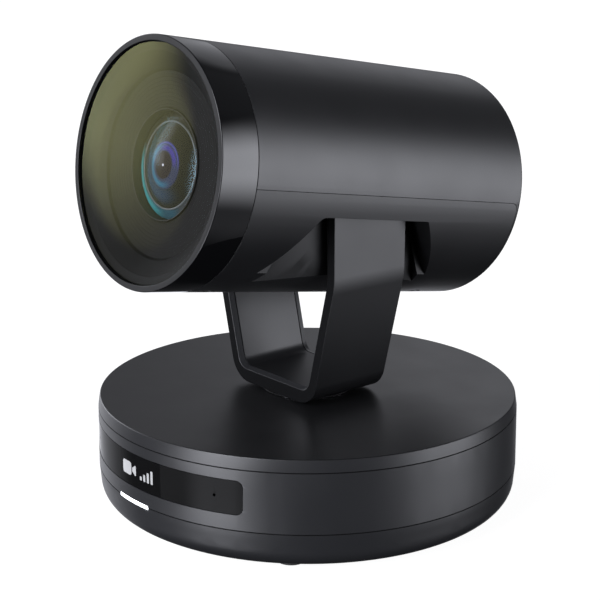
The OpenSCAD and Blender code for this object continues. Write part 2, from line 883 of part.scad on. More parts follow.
module upper_shell() {
    color(charcoal)
    in_head() difference() {
        union() {
            rotate([90, 0, 0]) rotate_extrude($fn = 160) polygon([
                [inner_r, bezel_back], [head_r - groove, bezel_back],
                [head_r, bezel_back - groove],
                [head_r, 1 - head_rear], [head_r - 0.3, 0.3 - head_rear],
                [head_r - 1, -head_rear], [0, -head_rear], [0, 2 - head_rear],
                [inner_r, 2 - head_rear]]);
            shell_posts(ear_z, 40);
        }
        across(-50, 50) lower_share(-0.08);
        post_places() translate([0, 0, ear_z - 1]) cylinder(r = 1.2, h = 8, $fn = 32);
    }
}

module lower_shell() {
    color(charcoal)
    in_head() difference() {
        union() {
            intersection() {
                rotate([90, 0, 0]) rotate_extrude($fn = 160) polygon([
                    [inner_r, bezel_back], [head_r - groove, bezel_back],
                    [head_r, bezel_back - groove], [head_r, -head_rear], [inner_r, -head_rear]]);
                across(-50, 50) lower_share(0.08);
            }
            pocket_walls();
            shell_posts(-40, -ear_z);
        }
        pocket_cut();
        post_places() {
            translate([0, 0, -50]) cylinder(r = 1.5, h = 40, $fn = 32);
            translate([0, 0, -50]) cylinder(r = 2.5, h = 25, $fn = 48);
        }
    }
}

// ---------- head: front ----------

module front_bezel() {
    lip = inner_r - 0.9;
    color(gloss_black)
    turned() polygon([
        [lip, bezel_back - 3], [inner_r - 0.05, bezel_back - 3], [inner_r - 0.05, bezel_back],
        [head_r - groove, bezel_back], [head_r, bezel_back + groove],
        [head_r, head_front - 0.4], [head_r - 0.4, head_front],
        [head_r - rim_w, head_front], [head_r - rim_w, glass_back],
        [head_r - rim_w - 1.2, glass_back], [head_r - rim_w - 1.2, glass_back - 1.2],
        [inner_r - 0.05, glass_back - 1.2], [lip, bezel_back + 1]]);
}

module front_glass() {
    color([0.1, 0.1, 0.11, 0.35])
    turned() translate([0, glass_back]) square([head_r - rim_w - 0.2, glass_t]);
}

module lens_baffle() {
    outer = head_r - rim_w - 0.8;
    back = 1.3;
    color(soft_black)
    turned() polygon([[barrel_r + 0.1, baffle_z - 1], [baffle_step_r, baffle_z - 0.2],
        [baffle_step_r + 0.5, baffle_z + 0.8], [outer - 1.2, glass_back - 1.2],
        [outer, glass_back - 1.2], [outer, glass_back - 2.6], [baffle_step_r + 1, baffle_z - 0.6],
        [baffle_step_r + 0.4, baffle_z - back - 0.5], [barrel_r + 0.1, baffle_z - 1 - back]]);
}

// ---------- head: lens block ----------

lens_seat = 46.5;
stop_ring_t = 1.5;

module rod_places() {
    for (sx = [-1, 1]) translate([sx * rod_x, 0]) children();
}

module lens_barrel() {
    color(soft_black)
    difference() {
        turned() polygon([[8, barrel_back], [barrel_r, barrel_back], [barrel_r, barrel_front],
            [barrel_r - 0.9, barrel_front], [front_lens_r + 0.2, barrel_front - 5],
            [front_lens_r, barrel_front - 5.4], [front_lens_r, lens_seat],
            [front_lens_r - 3.4, lens_seat], [front_lens_r - 3.4, lens_seat - stop_ring_t],
            [barrel_bore, lens_seat - stop_ring_t], [barrel_bore, 0], [8, 0]]);
        forward(barrel_back - 1, lens_seat) rod_places() circle(rod_r, $fn = 32);
    }
}

// Lens-shaped solid between two stations, with a front dome of the given sag
module lens_element(r, back, edge, sag) {
    dome_r = (r * r + sag * sag) / (2 * sag);
    apex = edge + sag;
    color(lens_blue)
    turned() polygon(concat([[0, back], [r, back], [r, edge]],
        [for (i = [1:8]) let (x = r * (1 - i / 8)) [x, apex - dome_r + sqrt(dome_r * dome_r - x * x)]]));
}

module front_lens() { lens_element(front_lens_r, lens_seat, barrel_front - 5.6, 4.2); }

module guide_rods() {
    color(steel)
    forward(barrel_back, lens_seat) rod_places() circle(rod_r, $fn = 32);
}

module lens_cell(at) {
    color(soft_black)
    forward(at, at + cell_len) difference() {
        circle(cell_r);
        circle(cell_bore);
        rod_places() circle(rod_r + run, $fn = 32);
    }
}

module zoom_cell() { lens_cell(zoom_at); }
module zoom_lens() { lens_element(cell_bore, zoom_at + 1, zoom_at + 3, 1.6); }
module focus_cell() { lens_cell(focus_at); }
module focus_lens() { lens_element(cell_bore, focus_at + 1, focus_at + 3, 1.6); }

module image_sensor() {
    color([0.2, 0.25, 0.3])
    forward(-4.4, -2.6) square([12.5, 9.5], center = true);
}

module sensor_board() {
    color(board_green)
    union() {
        forward(-6, -4.4) rounded_rect(32, 30, 2);
        for (sx = [-1, 1], sy = [-1, 1])
            forward(-4.5, barrel_back) translate([sx * 9, sy * 10]) circle(1.8, $fn = 32);
    }
}

module sensor_heat_sink() {
    color([0.5, 0.52, 0.55])
    union() {
        forward(-8, -6) square([26, 24], center = true);
        for (i = [-2:2]) forward(-11.5, -7.9) translate([0, 5 * i]) square([26, 1.6], center = true);
    }
}

module head_chassis() {
    plate_x = side_plate_x + side_plate_t;
    front_y = -40;
    rear_y = 32;
    ear_half = post_x + 3.5;
    ear_reach = post_at + 3.5;
    color(steel)
    in_head() difference() {
        union() {
            both_sides() across(side_plate_x, plate_x)
                translate([front_y, -13]) square([rear_y - front_y, 25]);
            block([-plate_x, front_y, -ear_z], [plate_x, front_y + 2, ear_z]);
            block([-plate_x, rear_y - 2, -ear_z], [plate_x, rear_y, ear_z]);
            for (z = [-ear_z, ear_z - ear_t]) {
                block([-ear_half, -ear_reach, z], [ear_half, front_y + 1, z + ear_t]);
                block([-ear_half, rear_y - 1, z], [ear_half, ear_reach, z + ear_t]);
            }
        }
        rotate([90, 0, 0]) cylinder(r = barrel_r, h = 100);
        rotate([0, 90, 0]) cylinder(r = 4.6, h = 60, center = true);
        post_places() cylinder(r = 1.4, h = 60, center = true, $fn = 32);
    }
}

module tilt_bushes() {
    x0 = side_plate_x;
    x1 = x0 + side_plate_t;
    color(brass)
    in_head() both_sides()
        about_x() polygon([[axle_r + run, x0], [4.6, x0], [4.6, x1], [6, x1], [6, x1 + 0.9],
                           [axle_r + run, x1 + 0.9]]);
}

module tilt_motor() {
    color(steel)
    in_head() difference() {
        union() {
            translate([1, tilt_centre, 0]) rotate([0, 90, 0]) cylinder(r = 7.4, h = 15.2);
            block([14.7, tilt_centre - 3, -6], [16.2, 30, 6]);
        }
        translate([10, tilt_centre, 0]) rotate([0, 90, 0]) cylinder(r = 1 + run, h = 20, $fn = 32);
    }
}

module tilt_pinion() {
    color(brass)
    in_head() translate([0, tilt_centre, 0]) {
        translate([gear_x - 0.2, 0, 0]) rotate([90, 0, 90]) linear_extrude(gear_t + 0.2)
            rotate(180) gear_outline(tilt_module, pinion_teeth, 1, 0.5);
        translate([10.5, 0, 0]) rotate([0, 90, 0]) cylinder(r = 1, h = gear_x - 10.4, $fn = 32);
    }
}

module head_screws() {
    color(steel)
    in_head() post_places() {
        translate([0, 0, -25]) screw(1.2, 2.3, 1.6, 8);
        translate([0, 0, ear_z - ear_t]) screw(1.2, 2.3, 1.6, 8);
    }
}

// ---------- assembly ----------

bottom_tray();
side_band();
top_cover();
front_panel();
display_window();
display_board();
status_light();
microphones();
rubber_feet();
tripod_insert();
base_plate();
main_board();
processor_heat_sink();
port_panel();
lan_socket();
usb_socket();
hdmi_socket();
audio_socket();
power_socket();
pan_motor();
pan_bracket();
pan_bearing();
base_screws();
turntable_disc();
pan_shaft();
pan_gear();
shaft_clip();
yoke_frame();
yoke_liner();
yoke_cable();
yoke_screws();
right_tilt_axle();
left_tilt_axle();
tilt_gear();
pan_pinion();
upper_shell();
lower_shell();
front_bezel();
front_glass();
lens_baffle();
lens_barrel();
front_lens();
guide_rods();
image_sensor();
sensor_board();
sensor_heat_sink();
head_chassis();
tilt_bushes();
tilt_motor();
head_screws();
tilt_pinion();
zoom_cell();
zoom_lens();
focus_cell();
focus_lens();
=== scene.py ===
"""Looks for the pan-tilt-zoom conference camera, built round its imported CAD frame."""

import json
import math

import bmesh
import bpy
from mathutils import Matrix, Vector


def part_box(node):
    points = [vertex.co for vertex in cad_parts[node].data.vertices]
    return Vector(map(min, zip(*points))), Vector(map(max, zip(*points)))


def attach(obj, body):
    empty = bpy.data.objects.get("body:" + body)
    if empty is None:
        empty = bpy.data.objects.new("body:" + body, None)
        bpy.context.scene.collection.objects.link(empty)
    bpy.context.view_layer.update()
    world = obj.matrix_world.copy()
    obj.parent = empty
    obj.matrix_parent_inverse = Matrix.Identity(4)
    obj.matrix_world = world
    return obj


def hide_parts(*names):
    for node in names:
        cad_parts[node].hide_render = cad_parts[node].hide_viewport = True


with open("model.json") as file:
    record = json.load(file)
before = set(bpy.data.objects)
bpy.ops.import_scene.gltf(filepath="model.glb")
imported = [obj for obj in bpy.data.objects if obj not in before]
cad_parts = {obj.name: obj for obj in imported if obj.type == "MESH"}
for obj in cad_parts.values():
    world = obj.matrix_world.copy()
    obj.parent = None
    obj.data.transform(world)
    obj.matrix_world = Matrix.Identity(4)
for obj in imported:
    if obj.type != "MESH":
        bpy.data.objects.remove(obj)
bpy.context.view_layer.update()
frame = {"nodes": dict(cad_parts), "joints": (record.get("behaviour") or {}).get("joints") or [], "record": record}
MM = 0.001

# ---------------------------------------------------------------- axes of the head

REST = {j["name"]: j for j in frame["joints"]}
TILT_POINT = Vector(REST["tilt"]["pos_m"])
FORWARD = Vector(REST["zoom_travel"]["axis"]).normalized()
ACROSS = Vector((1, 0, 0))
HEAD_UP = FORWARD.cross(ACROSS).normalized()
if HEAD_UP.z < 0:
    HEAD_UP = -HEAD_UP


def head_point(r, along, angle):
    """A point r mm from the optical axis, along mm forward of the tilt axis. Angle 0 is +X and 90 is up."""
    a = math.radians(angle)
    side = ACROSS * math.cos(a) + HEAD_UP * math.sin(a)
    return TILT_POINT + (FORWARD * along + side * r) * MM


def base_point(r, z, angle):
    """A point r mm from the pan axis at height z mm. Angle 0 is straight ahead (-Y) and 90 is +X."""
    a = math.radians(angle)
    return Vector((r * math.sin(a), -r * math.cos(a), z)) * MM


def along_head(node):
    """The least and most distance of a node forward of the tilt axis, in mm."""
    d = [(v.co - TILT_POINT).dot(FORWARD) / MM for v in frame["nodes"][node].data.vertices]
    return min(d), max(d)


def head_radius(node):
    """The largest distance of a node from the optical axis, in mm."""
    far = 0.0
    for v in frame["nodes"][node].data.vertices:
        p = v.co - TILT_POINT
        far = max(far, (p - FORWARD * p.dot(FORWARD)).length)
    return far / MM


# ---------------------------------------------------------------- mesh helpers

SHARP = math.radians(32)


def add_object(name, bm):
    """A new object of this mesh, shaded smooth but for its sharp edges."""
    mesh = bpy.data.meshes.new(name)
    bmesh.ops.recalc_face_normals(bm, faces=bm.faces)
    bm.to_mesh(mesh)
    bm.free()
    o = bpy.data.objects.new(name, mesh)
    bpy.context.scene.collection.objects.link(o)
    for p in mesh.polygons:
        p.use_smooth = True
    mesh.set_sharp_from_angle(angle=SHARP)
    return o


def applied(o):
    """The object with its modifiers made into its mesh."""
    mesh = bpy.data.meshes.new_from_object(o.evaluated_get(bpy.context.evaluated_depsgraph_get()))
    o.modifiers.clear()
    o.data = mesh
    return o


def soften(o, width, segments):
    """Rounds the weighted edges with real geometry in the second material, then shades the flats as flats."""
    m = o.modifiers.new("edges", "BEVEL")
    m.width = width * MM
    m.segments = segments
    m.limit_method = "WEIGHT"
    m.material = 1
    m.miter_outer = "MITER_ARC"
    w = o.modifiers.new("normals", "WEIGHTED_NORMAL")
    w.keep_sharp = False
    w.weight = 80
    return applied(o)


def rounded_copy(node, key, width, segments=3, share=None, reshape=None):
    """A copy of a CAD node's shape with its edges rounded. share(middle) scales the rounding of each edge."""
    bm = bmesh.new()
    bm.from_mesh(frame["nodes"][node].data)
    bmesh.ops.remove_doubles(bm, verts=bm.verts, dist=2e-6)
    bmesh.ops.dissolve_limit(bm, angle_limit=math.radians(0.3), verts=bm.verts, edges=bm.edges)
    bmesh.ops.recalc_face_normals(bm, faces=bm.faces)
    if reshape:
        reshape(bm)
    layer = bm.edges.layers.float.new("bevel_weight_edge")
    for e in bm.edges:
        if len(e.link_faces) == 2 and e.calc_face_angle(0) > SHARP:
            middle = (e.verts[0].co + e.verts[1].co) / 2 / MM
            e[layer] = 1.0 if share is None else share(middle)
    for f in bm.faces:
        f.material_index = 0
    o = add_object(node + "_body", bm)
    finish_with(o, key, key + "_edge")
    soften(o, width, segments)
    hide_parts(node)
    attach(o, body_of_node(node))
    return o


def paint(o, key, wanted):
    """Gives a further material to the faces that wanted(centre in mm, normal) picks."""
    o.data.materials.append(M[key].mat)
    last = len(o.data.materials) - 1
    for p in o.data.polygons:
        if wanted(p.center / MM, p.normal):
            p.material_index = last


def body_of_node(node):
    for body, members in frame["record"]["behaviour"]["bodies"].items():
        if node in members:
            return body
    raise KeyError(node)


def filleted(points, steps=6):
    """Closed outline of (x, y, r) corners with each corner rounded to radius r."""
    out = []
    n = len(points)
    for i in range(n):
        x, y, r = points[i]
        if r <= 0:
            out.append((x, y))
            continue
        p = Vector((x, y))
        a = Vector(points[i - 1][:2]) - p
        b = Vector(points[(i + 1) % n][:2]) - p
        a_len, b_len = a.length, b.length
        a.normalize()
        b.normalize()
        half = math.acos(max(-1, min(1, a.dot(b)))) / 2
        cut = min(r / math.tan(half), 0.49 * a_len, 0.49 * b_len)
        rr = cut * math.tan(half)
        centre = p + (a + b).normalized() * (rr / math.sin(half))
        start = p + a * cut - centre
        end = p + b * cut - centre
        turn = math.atan2(start.x * end.y - start.y * end.x, start.dot(end))
        for k in range(steps + 1):
            t = turn * k / steps
            c, s = math.cos(t), math.sin(t)
            out.append((centre.x + start.x * c - start.y * s, centre.y + start.x * s + start.y * c))
    return out


def turned(name, outline, place, steps=192, edge=0.12):
    """A closed (radius, height) outline turned about an axis by place(r, h, degrees).

    Strips narrower than edge mm, which are the rounded corners, get the second material."""
    bm = bmesh.new()
    rings = []
    for r, h in outline:
        if r < 1e-6:
            v = bm.verts.new(place(0, h, 0))
            rings.append([v] * steps)
        else:
            rings.append([bm.verts.new(place(r, h, 360 * k / steps)) for k in range(steps)])
    for i, (a, b) in enumerate(zip(rings, rings[1:] + rings[:1])):
        if a[0] is a[1] and b[0] is b[1]:
            continue
        narrow = math.dist(outline[i], outline[(i + 1) % len(outline)]) < edge
        for k in range(steps):
            j = (k + 1) % steps
            quad = [a[k], a[j], b[j], b[k]]
            face = []
            for v in quad:
                if v not in face:
                    face.append(v)
            if len(face) > 2:
                bm.faces.new(face).material_index = 1 if narrow else 0
    return add_object(name, bm)


def standing_for(o, *nodes):
    """The object takes the place of these CAD nodes and moves with their body."""
    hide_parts(*nodes)
    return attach(o, body_of_node(nodes[0]))


# ---------------------------------------------------------------- materials


class Shader:
    """A node material with a few short-hands."""

    def __init__(self, name):
        self.mat = bpy.data.materials.new(name)
        self.mat.use_nodes = True
        self.tree = self.mat.node_tree
        self.bsdf = self.tree.nodes["Principled BSDF"]
        self.object = self.add("ShaderNodeTexCoord").outputs["Object"]

    def add(self, kind, **inputs):
        n = self.tree.nodes.new(kind)
        for key, value in inputs.items():
            self.put(n.inputs[key.replace("_", " ")], value)
        return n

    def put(self, socket, value):
        if isinstance(value, bpy.types.NodeSocket):
            self.tree.links.new(value, socket)
        else:
            socket.default_value = value

    def set(self, **inputs):
        for key, value in inputs.items():
            self.put(self.bsdf.inputs[key.replace("_", " ")], value)
        return self

    def noise(self, scale, detail=2.0, stretch=(1, 1, 1)):
        m = self.add("ShaderNodeMapping", Vector=self.object, Scale=stretch)
        n = self.add("ShaderNodeTexNoise", Vector=m.outputs[0], Scale=scale, Detail=detail)
        return n.outputs["Fac"]

    def ramp(self, fac, *stops):
        r = self.add("ShaderNodeValToRGB", Fac=fac)
        e = r.color_ramp.elements
        while len(e) < len(stops):
            e.new(0.5)
        for k, (at, colour) in enumerate(stops):
            e[k].position = at
            e[k].color = (*colour, 1)
        return r.outputs["Color"]

    def range(self, value, a, b, c, d, smooth=False):
        m = self.add("ShaderNodeMapRange")
        m.interpolation_type = "SMOOTHSTEP" if smooth else "LINEAR"
        for k, x in enumerate((value, a, b, c, d)):
            self.put(m.inputs[k], x)
        return m.outputs[0]

    def math(self, op, *values):
        m = self.add("ShaderNodeMath")
        m.operation = op
        for k, x in enumerate(values):
            self.put(m.inputs[k], x)
        return m.outputs[0]

    def mix(self, fac, a, b):
        m = self.tree.nodes.new("ShaderNodeMix")
        m.data_type = "RGBA"
        self.put(m.inputs[0], fac)
        self.put(m.inputs[6], a)
        self.put(m.inputs[7], b)
        return m.outputs[2]

    def bump(self, height, strength, distance):
        b = self.add("ShaderNodeBump", Height=height, Strength=strength, Distance=distance * MM)
        self.put(self.bsdf.inputs["Normal"], b.outputs[0])
        return self


def shade(c, k):
    return (c[0] * k, c[1] * k, c[2] * k)


def moulded(name, colour, rough, grain=0.03, grain_mm=0.35, spread=0.02, spec=0.5):
    """Moulded plastic: fine spark-eroded grain and faint flow variation."""
    s = Shader(name)
    s.set(Base_Color=s.ramp(s.noise(28, 3), (0.3, shade(colour, 0.96)), (0.7, shade(colour, 1.04))))
    s.set(Roughness=s.range(s.noise(60, 4), 0.3, 0.7, rough - spread, rough + spread))
    s.set(Specular_IOR_Level=spec)
    return s.bump(s.noise(1 / (grain_mm * MM), 2), grain, 0.02)


def glossy(name, colour, rough=0.04, spec=0.5):
    """Polished plastic with a little orange peel and fine handling marks."""
    s = Shader(name)
    s.set(Base_Color=s.ramp(s.noise(35, 2), (0.35, shade(colour, 0.9)), (0.65, shade(colour, 1.1))))
    s.set(Roughness=s.range(s.noise(150, 5), 0.35, 0.75, rough, rough + 0.03), Specular_IOR_Level=spec)
    return s.bump(s.noise(120, 1), 0.02, 0.05)


def metal(name, colour, rough, stretch=(1, 1, 1), scale=900, marks=0.12):
    """Plated or machined metal with fine marks along one direction."""
    s = Shader(name)
    lines = s.noise(scale, 3, stretch)
    s.set(Base_Color=s.ramp(lines, (0.3, shade(colour, 0.82)), (0.7, shade(colour, 1.08))), Metallic=1.0)
    s.set(Roughness=s.range(s.noise(80, 3), 0.3, 0.7, rough - 0.06, rough + 0.1))
    return s.bump(lines, marks, 0.02)


def painted_board(name, colour):
    """Solder mask with traces and pads."""
    s = Shader(name)
    v = s.add("ShaderNodeTexVoronoi", Vector=s.object, Scale=420.0)
    pads = s.range(v.outputs["Distance"], 0.12, 0.16, 1.0, 0.0)
    b = s.add("ShaderNodeTexBrick", Vector=s.object, Scale=260.0, Color1=(*colour, 1))
    b.inputs["Color2"].default_value = (*shade(colour, 0.75), 1)
    b.inputs["Mortar"].default_value = (*shade(colour, 1.5), 1)
    s.set(Base_Color=s.mix(pads, b.outputs["Color"], (0.7, 0.6, 0.35, 1)), Roughness=0.35)
    return s.bump(b.outputs["Fac"], 0.1, 0.05)


M = {}


def material(key, slot, make, colour, rough, wear_and_highlight=1.5, **more):
    """Adds a material and, for the rounded edges, a lighter and glossier copy: partly handling wear, partly a
    painted edge highlight.
    """
    M[key] = make(key, colour, rough, **more)
    # The edge copy's lighter colour is partly a painted highlight along the rounded edges.
    M[key + "_edge"] = make(key + "_edge", shade(colour, wear_and_highlight), rough * 0.85, **more)
    SLOTS[key] = SLOTS[key + "_edge"] = slot


CHARCOAL = (0.0118, 0.0121, 0.0132)
SLOTS = {}
# One shell plastic at different shades: the head shells and yoke darkened to 0.6 and the top cover's top to 0.4
# are painted shade, standing in for the shadow under the head.
material("shell", "shell_plastic", moulded, shade(CHARCOAL, 0.6), 0.37, spec=0.53)
material("base_shell", "shell_plastic", moulded, CHARCOAL, 0.37, spec=0.42)
material("cover", "shell_plastic", moulded, shade(CHARCOAL, 0.4), 0.36, spec=0.62)
material("tray", "shell_plastic", moulded, CHARCOAL, 0.37, spec=0.27)
material("yoke", "shell_plastic", moulded, shade(CHARCOAL, 0.6), 0.36, spec=0.36)
# Painted shade: the yoke's front and rear faces are drawn darker and duller than its outer faces.
material("yoke_side", "shell_plastic", moulded, shade(CHARCOAL, 0.3), 0.5, spec=0.06)
# Painted highlight: the slanted strips beside the trim are drawn lighter and glossier, as if catching the light.
material("strip", "shell_plastic", moulded, shade(CHARCOAL, 1.8), 0.4, spec=0.7)
material("liner", "shell_plastic", moulded, CHARCOAL, 0.42, spec=0.45)
material("soft_black", "black_plastic", moulded, (0.007, 0.007, 0.0074), 0.55, spec=0.25)
# Painted shade: near black for the seam grooves' chamfers and the turntable disc, so they read as shaded and catch
# no light.
material("hollow", "shell_plastic", moulded, (0.0035, 0.0035, 0.0038), 0.6, spec=0.12)
material("bezel", "bezel_gloss", glossy, (0.0028, 0.0029, 0.0033), 0.045)
# Painted shade: near black for the insides of the arm pockets and the parting line.
material("pocket", "shell_plastic", moulded, shade(CHARCOAL, 0.25), 0.42, spec=0.2)
material("rim", "bezel_gloss", moulded, (0.014, 0.014, 0.0142), 0.55, spec=0.2)
material("panel", "panel_gloss", glossy, (0.007, 0.007, 0.007), 0.08, spec=0.025)
material("display", "display_glass", glossy, (0.0035, 0.0035, 0.0036), 0.05, spec=0.06)
material("rubber", "rubber", moulded, (0.012, 0.012, 0.012), 0.75, grain=0.2, grain_mm=0.6)
material("brass", "brass", metal, (0.72, 0.52, 0.24), 0.28, wear_and_highlight=1.2)
material("steel", "steel", metal, (0.55, 0.55, 0.56), 0.32, wear_and_highlight=1.2)
material("socket", "socket_metal", metal, (0.6, 0.6, 0.6), 0.3, wear_and_highlight=1.2, stretch=(1, 1, 12))
material("socket_black", "lens_black", moulded, (0.012, 0.012, 0.012), 0.4)
material("heat_sink", "heat_sink", metal, (0.42, 0.43, 0.45), 0.4, wear_and_highlight=1.2, stretch=(1, 20, 1))
material("cable", "cable_sheath", moulded, (0.45, 0.45, 0.42), 0.5, wear_and_highlight=1.2)
material("lens_black", "lens_black", moulded, (0.006, 0.006, 0.0065), 0.6)
material("dish", "lens_black", moulded, (0.009, 0.009, 0.0088), 0.55, grain=0.004, spec=0.08)
material("ring", "steel", moulded, (0.1, 0.115, 0.12), 0.35)
M["board"] = painted_board("circuit_board", (0.012, 0.09, 0.035))
SLOTS["board"] = "circuit_board"


def lamp_material(name, colour, strength):
    s = Shader(name)
    glow = s.ramp(s.noise(300, 2), (0.3, shade(colour, 0.93)), (0.7, colour))
    s.set(Base_Color=glow, Emission_Color=glow, Emission_Strength=strength, Roughness=0.4)
    return s.bump(s.noise(2500, 1), 0.05, 0.02)


def clear(name, tint, alpha, rough=0.02):
    """Coated glass: a thin mirror film of this tint, seen through by 1 - alpha."""
    s = Shader(name)
    s.set(Base_Color=s.ramp(s.noise(40, 2), (0.3, shade(tint, 0.95)), (0.7, tint)))
    s.set(Alpha=alpha, Metallic=1.0, Specular_Tint=(0.55, 0.9, 1.0, 1))
    s.set(Roughness=s.range(s.noise(200, 4), 0.3, 0.8, rough, rough + 0.02))
    return s.bump(s.noise(90, 1), 0.01, 0.02)


M["front_glass"] = clear("front_glass", (0.43, 0.405, 0.165), 0.12)
M["front_glass_back"] = clear("front_glass_back", (0.03, 0.03, 0.03), 0.02)
M["dome"] = clear("lens_coating", (0.042, 0.089, 0.113), 0.12)
M["dome_back"] = clear("lens_back_coating", (0.02, 0.03, 0.03), 0.02)
M["inner_lens"] = clear("inner_lens_coating", (0.1, 0.1, 0.3), 0.5)
M["light"] = lamp_material("light_diffuser", (0.95, 0.97, 1.0), 1.6)
M["light_edge"] = lamp_material("light_diffuser_edge", (0.95, 0.97, 1.0), 1.3)
M["symbol"] = lamp_material("display_symbol", (0.2, 0.201, 0.205), 1.3)
SLOTS |= {
    "front_glass": "front_glass", "front_glass_back": "front_glass",
    "dome": "lens_glass", "dome_back": "lens_glass", "inner_lens": "lens_glass",
    "light": "light_diffuser", "light_edge": "light_diffuser", "symbol": "display_glass",
}


def finish_with(o, *keys):
    """Gives a piece its materials."""
    o.data.materials.clear()
    for k in keys:
        o.data.materials.append(M[k].mat)
    return o


# ---------------------------------------------------------------- base

SEAM_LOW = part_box("side_band")[0].z / MM
SEAM_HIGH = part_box("side_band")[1].z / MM
GROOVE = 0.25
INSIDE_WALL = 60  # radius within which nothing belongs to the outer wall


def near_seam(z):
    return min(abs(z - SEAM_LOW), abs(z - SEAM_HIGH)) < GROOVE


def seam_free(middle):
    """Leaves the grooves of the two seams as they are, so that they stay thin."""
    return 0.0 if near_seam(middle.z) and math.hypot(middle.x, middle.y) > INSIDE_WALL else 1.0


for node, key, width in (
    ("bottom_tray", "tray", 0.25),
    ("side_band", "base_shell", 0.15),
    ("top_cover", "cover", 0.1),
):
    shell = rounded_copy(node, key, width, share=seam_free)
    # The seam chamfers get painted shade, so the grooves read as thin dark lines.
    paint(shell, "hollow", lambda c, n: near_seam(c.z) and abs(n.z) > 0.2)
    # The top cover's top faces keep the darker cover copy, painted shade under the head; its sides get the base's
    # plain plastic.
    if node == "top_cover":
        paint(shell, "base_shell", lambda c, n: abs(n.z) < 0.6)

for node, key, width in (
    ("front_panel", "panel", 0.22),
    ("display_window", "display", 0.05),
    ("status_light", "light", 0.12),
    ("rubber_feet", "rubber", 0.5),
    ("tripod_insert", "brass", 0.25),
    ("port_panel", "soft_black", 0.25),
    ("lan_socket", "socket", 0.2),
    ("usb_socket", "socket", 0.2),
    ("hdmi_socket", "socket", 0.15),
    ("audio_socket", "socket_black", 0.2),
    ("power_socket", "socket_black", 0.2),
    ("base_screws", "steel", 0.2),
    # The turntable disc is drawn in painted shade.
    ("turntable_disc", "hollow", 0.12),
):
    rounded_copy(node, key, width)

# ---------------------------------------------------------------- yoke

YOKE_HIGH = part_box("yoke_frame")[1]
YOKE_HALF = YOKE_HIGH.y / MM


def yoke_rounding(p):
    """The outer edges are rounded most, and the step that the trim sits in least."""
    return 1.0 if abs(p.y) > YOKE_HALF - 0.3 else 0.2


STRIP_SLANT = 0.55


def slant_inner_edges(bm):
    """Slopes the strips on both sides of the trim outward, by thinning the front and rear faces."""
    bm.normal_update()
    moves = []
    for v in bm.verts:
        if abs(abs(v.co.y) / MM - YOKE_HALF) > 0.01:
            continue
        middle = Vector((0, v.co.y, (YOKE_HIGH.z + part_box("yoke_frame")[0].z) / 2))
        inward = [
            f.normal for f in v.link_faces
            if abs(f.normal.y) < 0.5 and f.normal.dot(middle - f.calc_center_median()) > 0
        ]
        if inward:
            moves.append((v, sum(inward, Vector()).normalized() * STRIP_SLANT * MM))
    for v, move in moves:
        v.co -= move


yoke = rounded_copy("yoke_frame", "yoke", 0.85, 4, yoke_rounding, slant_inner_edges)
STRIP_DEPTH = 4
YOKE_MIDDLE = Vector((0, 0, (YOKE_HIGH.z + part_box("yoke_frame")[0].z) / 2 / MM))


def beside_trim(c, n):
    """The strips between the trim and the front and rear faces."""
    inward = n.x * (YOKE_MIDDLE.x - c.x) + n.z * (YOKE_MIDDLE.z - c.z)
    return inward > 0 and abs(n.y) < 0.95 and abs(c.y) > YOKE_HALF - STRIP_DEPTH


# The yoke's front and rear faces get painted shade.
paint(yoke, "yoke_side", lambda c, n: abs(n.y) > 0.95)
# The strips beside the trim get the lighter copy, a painted highlight.
paint(yoke, "strip", beside_trim)
rounded_copy("yoke_liner", "liner", 0.35)
rounded_copy("yoke_screws", "steel", 0.1)
for side in ("right", "left"):
    rounded_copy(side + "_tilt_axle", "steel", 0.25)

# ---------------------------------------------------------------- head shells

HEAD_R = head_radius("front_bezel")
BEZEL_BACK, BEZEL_FRONT = along_head("front_bezel")
SPIGOT = 3  # the bezel's length that is inside the shells
BEZEL_BACK += SPIGOT
POCKET_REACH = 45


def in_pocket(c, n):
    """Faces of the shells that don't lie on the head's cylinder: the arm pockets and the parting line."""
    p = c - TILT_POINT / MM
    out = (p - FORWARD * p.dot(FORWARD)).normalized()
    return abs(p.dot(FORWARD)) < POCKET_REACH and n.dot(out) < 0.93


for node in ("upper_shell", "lower_shell"):
    shell = rounded_copy(node, "shell", 0.12, 2)
    # These faces get the near-black pocket copy: painted shade inside the pockets and the parting line.
    paint(shell, "pocket", in_pocket)

# ---------------------------------------------------------------- head front

GLASS_BACK, GLASS_FRONT = along_head("front_glass")
GLASS_R = head_radius("front_glass")
BARREL_R = head_radius("lens_barrel")
BARREL_FRONT = along_head("lens_barrel")[1]

RIM_IN = GLASS_R + 0.2
bezel = turned(
    "bezel_ring",
    filleted([
        (HEAD_R - 3.3, BEZEL_BACK - SPIGOT, 0.2), (HEAD_R - 2.45, BEZEL_BACK - SPIGOT, 0.2),
        (HEAD_R - 2.45, BEZEL_BACK, 0), (HEAD_R - 0.1, BEZEL_BACK, 0.05),
        (HEAD_R, BEZEL_BACK + 0.12, 0.08), (HEAD_R, BEZEL_FRONT, 0.35),
        (RIM_IN, BEZEL_FRONT, 0.16), (RIM_IN, GLASS_BACK, 0),
        (RIM_IN - 1.2, GLASS_BACK, 0.1), (RIM_IN - 1.2, GLASS_BACK - 1.2, 0.1),
        (HEAD_R - 2.45, GLASS_BACK - 1.2, 0), (HEAD_R - 3.3, BEZEL_BACK + 1, 0.2),
    ]),
    head_point,
)
standing_for(bezel, "front_bezel")
finish_with(bezel, "bezel", "bezel_edge")


def on_rim(c, n):
    """The bezel's flat front ring."""
    return n.dot(FORWARD) > 0.8 and (c - TILT_POINT / MM).dot(FORWARD) > BEZEL_FRONT - 0.15


paint(bezel, "rim", on_rim)

